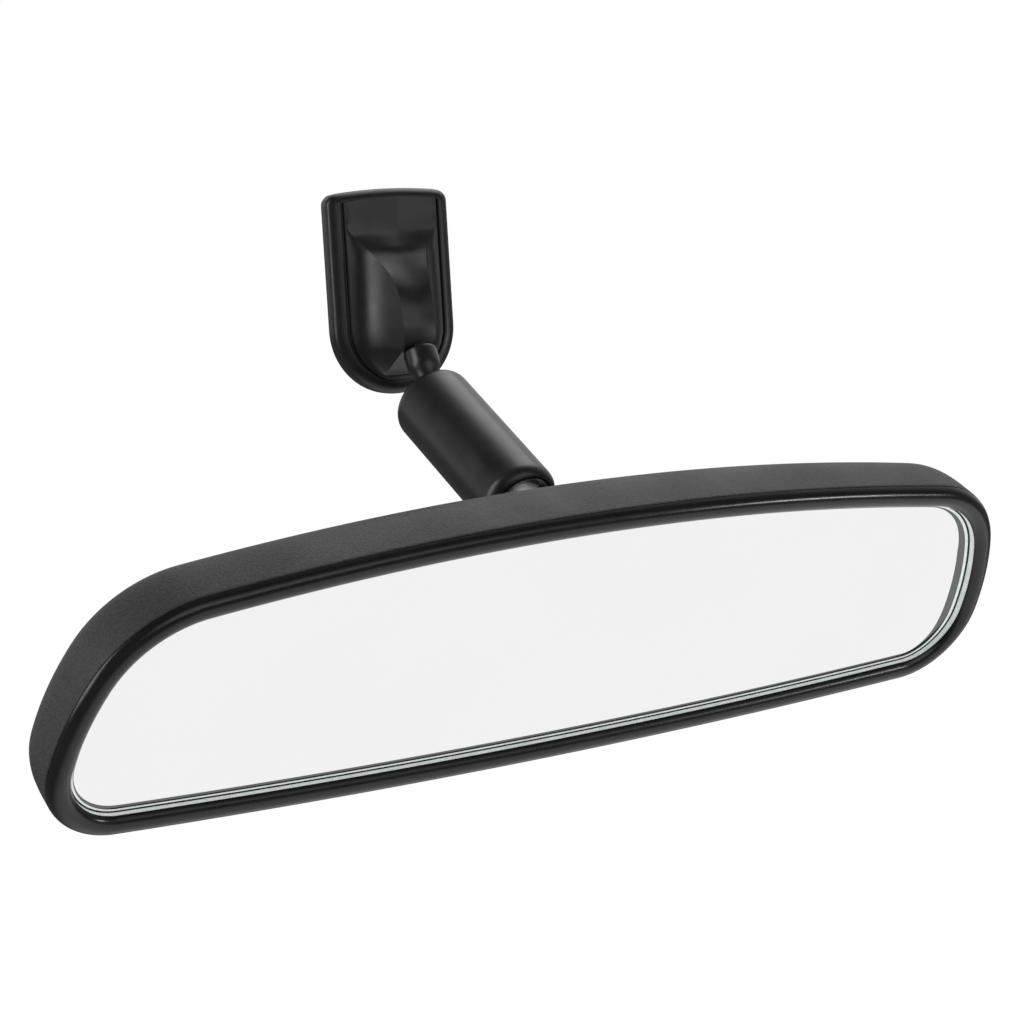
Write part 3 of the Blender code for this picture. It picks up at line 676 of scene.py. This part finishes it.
# Stem, from the top down: its half width, and its height at the edge and at the crest
STEM_HALF = [(15.2, 11.55), (14.4, 11.1), (12.0, 9.2), (9.6, 7.35), (7.2, 6.1), (4.8, 5.1),
             (0.6, 4.3), (-5.2, 4.15), (-13.1, 4.05), (-21.0, 4.0)]
STEM_EDGE = [(22.4, 4.75), (14.4, 4.95), (12.0, 5.9), (9.6, 7.4), (7.2, 9.6), (4.8, 11.9),
             (2.6, 13.5), (0.6, 14.6), (-2.2, 15.5), (-5.2, 16.0), (-8.5, 16.4), (-12.6, 16.0),
             (-13.5, 15.3), (-19.3, 5.1), (-21.0, 4.7)]
STEM_CREST = [(22.4, 6.5), (17.0, 6.4), (14.4, 6.4), (12.0, 6.7), (9.6, 7.3), (7.2, 9.2),
              (4.8, 11.2), (2.6, 13.0), (0.6, 14.4), (-2.2, 15.7), (-5.2, 16.4), (-8.5, 16.8),
              (-12.6, 16.3), (-13.5, 15.5), (-19.3, 5.2), (-21.0, 4.7)]
# Flange: share of the way out from the front's edge, and height
FLANGE = smooth_curve([(0.0, 4.3), (0.12, 4.35), (0.5, 4.0), (0.82, 3.35), (0.95, 2.7),
                       (1.0, 1.8), (1.0, 0.0)], 4)
# Back of the mount: pocket for the button and a deeper channel for its leaf spring (half
# width, low, high, depth, corner radius), and rivet holes (radius, from, to)
POCKET = (8.4, -17.0, 10.5, 3.3, 3.0)
CHANNEL = (3.2, -12.5, 8.8, 5.2, 1.0)
RIVET_HEIGHTS = (6.9, 2.9)
RIVET_HOLE = (1.2, 4.0, 7.4)


def read_table(table, value):
    """Smooth reading of a (key, value) list with falling keys."""
    if value >= table[0][0]:
        return table[0][1]
    for i, ((k0, v0), (k1, v1)) in enumerate(zip(table, table[1:])):
        if value >= k1:
            before = table[max(i - 1, 0)]
            after = table[min(i + 2, len(table) - 1)]
            span = k0 - k1
            m0 = (v1 - before[1]) / max(before[0] - k1, 1e-6) * span
            m1 = (after[1] - v0) / max(k0 - after[0], 1e-6) * span
            t = (k0 - value) / span
            h = t * t * (3 - 2 * t)
            return v0 * (1 - h) + v1 * h + m0 * t * (1 - t) ** 2 - m1 * t * t * (1 - t)
    return table[-1][1]


def front_half_width(z):
    """Half width of the raised front: straight sides, then a round bottom."""
    drop = max(0.0, ROUND_Z - z)
    return math.sqrt(max(FRONT_HALF ** 2 - drop ** 2, 0.01))


def mount_section(z):
    """Half section of the mount's front, centre to edge, as (x, height)."""
    edge = front_half_width(z)
    rim = min(1.0, edge * 0.12)
    start = edge - rim
    stem = min(start - 0.3, read_table(STEM_HALF, z), edge * (0.6 if z < ROUND_Z else 1.0))
    shoulder = read_table(STEM_EDGE, z)
    crest = read_table(STEM_CREST, z)
    round_off = 1.0 + 0.6 * min(1.0, max(0.0, (14.0 - z) / 10.0))
    points = []
    for i in range(9):
        t = i / 8
        points.append((stem * t, crest + (shoulder - crest) * t ** round_off))
    for i in range(1, 21):
        t = i / 20
        fall = 0.82 * (1.0 - t) ** 2.6 + 0.18 * (1.0 - t)
        points.append((stem + (start - stem) * t, FRONT_FLOOR + (shoulder - FRONT_FLOOR) * fall))
    for i in range(1, 9):
        t = i / 8
        groove = -0.65 * math.sin(math.pi * min(t * 1.25, 1.0)) - 0.4 * t
        points.append((start + rim * t, FRONT_FLOOR + groove))
    return points


def mount_stations():
    """Section heights from the top edge down, then evenly along the rounded bottom."""
    upper = 72
    lower = 48
    out = [FRONT_TOP + (ROUND_Z - FRONT_TOP) * i / upper for i in range(upper)]
    for i in range(lower):
        out.append(ROUND_Z - FRONT_HALF * math.sin(math.radians(88.0 * i / (lower - 1))))
    return out


def flange_point(x, z, share, corner):
    """Moves a point of the front edge outwards by a share of the flange."""
    full = MOUNT_HALF_WIDTH / FRONT_HALF
    if z < ROUND_Z:
        scale = 1.0 + (full - 1.0) * share
        return x * scale, ROUND_Z + (z - ROUND_Z) * scale
    lift = FLANGE_INSET_TOP / (FRONT_TOP - ROUND_Z)
    nx = x * (1.0 + (full - 1.0) * share)
    nz = ROUND_Z + (z - ROUND_Z) * (1.0 + lift * share)
    near = max(0.0, 1.0 - corner / 2.4)
    trim = 0.75 * share * near ** 2
    return nx - math.copysign(trim, x) * (1 if x else 0), nz - trim


def mount_rows():
    """Full sections of the front, left to right, the top ones sagging at their ends."""
    rows = []
    for z in mount_stations():
        half = mount_section(z)
        sag = max(0.0, 1.0 - (FRONT_TOP - z) / 6.0)
        edge = half[-1][0]
        right = [(x, -h, z - sag * (x / edge) ** 2) for x, h in half]
        rows.append([(-x, y, zz) for x, y, zz in reversed(right[1:])] + right)
    return rows


def slot_ring(half, low, high, radius, y):
    """Rounded rectangle in the mount's back plane, at depth y."""
    ring = []
    corners = ((half, high, 0.0), (-half, high, 90.0), (-half, low, 180.0), (half, low, 270.0))
    for cx, cz, start in corners:
        x = cx - math.copysign(radius, cx)
        z = cz + (radius if cz == low else -radius)
        ring += [(px, y, pz) for px, pz in arc(x, z, radius, start, start + 90.0, 8)]
    return ring


def build_mount():
    """Raised front, flange round it, and the back carved for the button and its clip."""
    bm = bmesh.new()
    rows = mount_rows()
    grid = [[bm.verts.new([c * MM for c in p]) for p in row] for row in rows]
    for a, b in zip(grid, grid[1:]):
        for i in range(len(a) - 1):
            bm.faces.new((a[i], b[i], b[i + 1], a[i + 1]))
    top = list(zip(grid[0], rows[0]))
    right = [(g[-1], r[-1]) for g, r in zip(grid[1:], rows[1:])]
    low = list(zip(reversed(grid[-1][1:-1]), reversed(rows[-1][1:-1])))
    left = [(g[0], r[0]) for g, r in zip(reversed(grid[1:]), reversed(rows[1:]))]
    rim = top + right + low + left
    corner = rows[0][-1]
    previous = [v for v, _ in rim]
    for share, height in FLANGE[1:]:
        ring = []
        for _, (x, _y, z) in rim:
            reach = math.hypot(abs(x) - corner[0], z - corner[2])
            nx, nz = flange_point(x, z, share, reach)
            ring.append(bm.verts.new((nx * MM, -height * MM, nz * MM)))
        for i in range(len(ring)):
            j = (i + 1) % len(ring)
            bm.faces.new((previous[i], previous[j], ring[j], ring[i]))
        previous = ring
    bm.faces.new(previous)
    bmesh.ops.recalc_face_normals(bm, faces=bm.faces)
    paint = satin_paint("cast_paint", 0.36, 0.1)
    mount = finish_mesh("mount", bm, ROW, [paint], "mount", ["mount_base"],
                        sharp=28.0)
    tools = [cutter([slot_ring(*POCKET[:3], POCKET[4], y) for y in (1.0, -POCKET[3])], ROW),
             cutter([slot_ring(*CHANNEL[:3], CHANNEL[4], y) for y in (1.0, -CHANNEL[3])], ROW)]
    back_to_front = Matrix.Rotation(math.radians(90.0), 4, "X")
    radius, low, high = RIVET_HOLE
    for height in RIVET_HEIGHTS:
        tools.append(bore_cutter(radius, (0.0, height), low, high, back_to_front))
    carve(mount, tools, 28.0)


# ---------------------------------------------------------------- carried-over nodes
def finish_nodes():
    """Materials for the CAD nodes that stay: metal, nylon and fasteners inside."""
    zinc = turned_metal("inner_zinc", (0.6, 0.6, 0.58), 0.35)
    steel = turned_metal("inner_steel", (0.5, 0.5, 0.51), 0.32)
    spring = turned_metal("oiled_spring", (0.36, 0.36, 0.37), 0.28)
    nylon = moulded_nylon("natural_nylon", (0.66, 0.65, 0.6), (0.78, 0.77, 0.73), 0.45)
    chosen = {
        "upper_ball_seat": nylon, "lower_ball_seat": nylon,
        "arm_spring": spring, "button_clip": spring,
        "upper_spring_washer": steel, "lower_spring_washer": steel,
        "clip_rivet_1": steel, "clip_rivet_2": steel,
        "ball_plate": zinc, "stud_nut": zinc, "stud_washer": zinc,
    }
    for k in range(1, 5):
        chosen["plate_screw_%d" % k] = zinc
    for name, mat in chosen.items():
        mesh = frame["nodes"][name].data
        mesh.materials.clear()
        mesh.materials.append(mat)


# ---------------------------------------------------------------- studio
# Floor (metres): how far below it lies, and where its light is full and where it has faded
FLOOR_DROP = 0.5
FLOOR_HALF = 30.0
BRIGHT_SPOT = (0.33, -0.2, 0.0)
FADE_FROM, FADE_TO = 0.36, 0.75
FADED_STRENGTH = 0.12


def build_stage():
    """Plain floor well below the mirror.

    It gives off its own light: full white to camera rays, and to all other rays a light
    that fades away from the bright spot, so that it doesn't wash out the black parts.
    """
    mat, nt, bsdf = new_material("floor_white", (0.03, 0.03, 0.03), 0.9, specular=0.0)
    bsdf.inputs["Emission Color"].default_value = (1.0, 1.0, 1.0, 1.0)
    coord = nt.nodes.new("ShaderNodeTexCoord")
    away = nt.nodes.new("ShaderNodeVectorMath")
    away.operation = "DISTANCE"
    away.inputs[1].default_value = BRIGHT_SPOT
    fade = nt.nodes.new("ShaderNodeMapRange")
    fade.interpolation_type = "SMOOTHSTEP"
    fade.inputs["From Min"].default_value = FADE_FROM
    fade.inputs["From Max"].default_value = FADE_TO
    fade.inputs["To Min"].default_value = 1.0
    fade.inputs["To Max"].default_value = FADED_STRENGTH
    path = nt.nodes.new("ShaderNodeLightPath")
    pick = nt.nodes.new("ShaderNodeMath")
    pick.operation = "MAXIMUM"
    nt.links.new(coord.outputs["Object"], away.inputs[0])
    nt.links.new(away.outputs["Value"], fade.inputs["Value"])
    nt.links.new(fade.outputs["Result"], pick.inputs[0])
    nt.links.new(path.outputs["Is Camera Ray"], pick.inputs[1])
    nt.links.new(pick.outputs["Value"], bsdf.inputs["Emission Strength"])
    bm = bmesh.new()
    bmesh.ops.create_grid(bm, x_segments=2, y_segments=2, size=FLOOR_HALF)
    mesh = bpy.data.meshes.new("floor")
    bm.to_mesh(mesh)
    bm.free()
    mesh.materials.append(mat)
    floor = bpy.data.objects.new("floor", mesh)
    bpy.context.scene.collection.objects.link(floor)
    floor.location = (0.0, 0.0, -FLOOR_DROP)


# Soft lobes of the studio's light: direction, where the lobe starts and ends, strength
LOBES = [((-0.42, 0.9, -0.1), 0.55, 0.97, 0.9), ((0.66, 0.52, 0.54), 0.45, 0.95, 0.9),
         ((0.0, 0.0, 1.0), 0.6, 1.0, 0.12), ((0.22, -0.96, -0.1), 0.75, 1.0, 2.3)]
DIMMEST = 0.065


def build_world():
    """White to camera rays; as light, a dim studio with soft bright areas.

    They lie behind, up to the right, overhead and in front of the mirror.
    """
    world = bpy.data.worlds.new("studio")
    bpy.context.scene.world = world
    world.use_nodes = True
    nt = world.node_tree
    nt.nodes.clear()
    out = nt.nodes.new("ShaderNodeOutputWorld")
    mix = nt.nodes.new("ShaderNodeMixShader")
    path = nt.nodes.new("ShaderNodeLightPath")
    seen = nt.nodes.new("ShaderNodeBackground")
    seen.inputs["Color"].default_value = (1.0, 1.0, 1.0, 1.0)
    lit = nt.nodes.new("ShaderNodeBackground")
    coord = nt.nodes.new("ShaderNodeTexCoord")
    total = None
    for direction, start, end, strength in LOBES:
        side = nt.nodes.new("ShaderNodeVectorMath")
        side.operation = "DOT_PRODUCT"
        side.inputs[1].default_value = direction
        curve = nt.nodes.new("ShaderNodeMapRange")
        curve.interpolation_type = "SMOOTHSTEP"
        curve.inputs["From Min"].default_value = start
        curve.inputs["From Max"].default_value = end
        curve.inputs["To Min"].default_value = 0.0
        curve.inputs["To Max"].default_value = strength
        add = nt.nodes.new("ShaderNodeMath")
        add.inputs[1].default_value = DIMMEST
        nt.links.new(coord.outputs["Generated"], side.inputs[0])
        nt.links.new(side.outputs["Value"], curve.inputs["Value"])
        nt.links.new(curve.outputs["Result"], add.inputs[0])
        if total:
            nt.links.new(total, add.inputs[1])
        total = add.outputs["Value"]
    nt.links.new(total, lit.inputs["Strength"])
    nt.links.new(path.outputs["Is Camera Ray"], mix.inputs["Fac"])
    nt.links.new(lit.outputs["Background"], mix.inputs[1])
    nt.links.new(seen.outputs["Background"], mix.inputs[2])
    nt.links.new(mix.outputs["Shader"], out.inputs["Surface"])


def area_light(name, place, target, size, power):
    """A rectangular softbox aimed at a target; metres and watts."""
    data = bpy.data.lights.new(name, "AREA")
    data.shape = "RECTANGLE"
    data.size, data.size_y = size
    data.energy = power
    light = bpy.data.objects.new(name, data)
    bpy.context.scene.collection.objects.link(light)
    light.location = place
    light.rotation_euler = (Vector(target) - Vector(place)).to_track_quat("-Z", "Y").to_euler()


def build_lights():
    area_light("top_softbox", (0.62, 0.35, 0.95), (0.0, -0.05, -0.05), (0.9, 0.8), 4.2)
    area_light("left_softbox", (-1.1, -0.1, 0.3), (0.0, -0.05, -0.05), (0.5, 1.0), 7.0)
    area_light("rim_strip", (0.68, -0.55, -0.13), (0.08, -0.06, -0.07), (0.12, 0.08), 0.7)


# Camera: place in metres and its own right and up axes, as fitted to the picture's view
CAMERA_PLACE = Vector((-0.283498, -0.596929, 0.014651))
CAMERA_RIGHT = Vector((0.88093558, -0.46961733, -0.05841291))
CAMERA_UP = Vector((0.10037705, 0.06480004, 0.99283705))
CAMERA_LENS = 97.07


def build_camera():
    """Camera at the picture's viewpoint."""
    data = bpy.data.cameras.new("camera")
    data.lens = CAMERA_LENS
    data.sensor_width = 36.0
    data.clip_start = 0.01
    camera = bpy.data.objects.new("camera", data)
    bpy.context.scene.collection.objects.link(camera)
    camera.matrix_world = axes_matrix(CAMERA_PLACE, CAMERA_RIGHT, CAMERA_UP,
                                      CAMERA_RIGHT.cross(CAMERA_UP))
    bpy.context.scene.camera = camera
    bpy.context.scene.view_settings.view_transform = "Standard"


build_stage()
build_world()
build_lights()
build_camera()
build_mount()
build_neck()
build_tube()
build_rings()
build_stud()
build_case()
build_bezel()
build_glass()
build_pads()
finish_nodes()

bpy.context.view_layer.update()
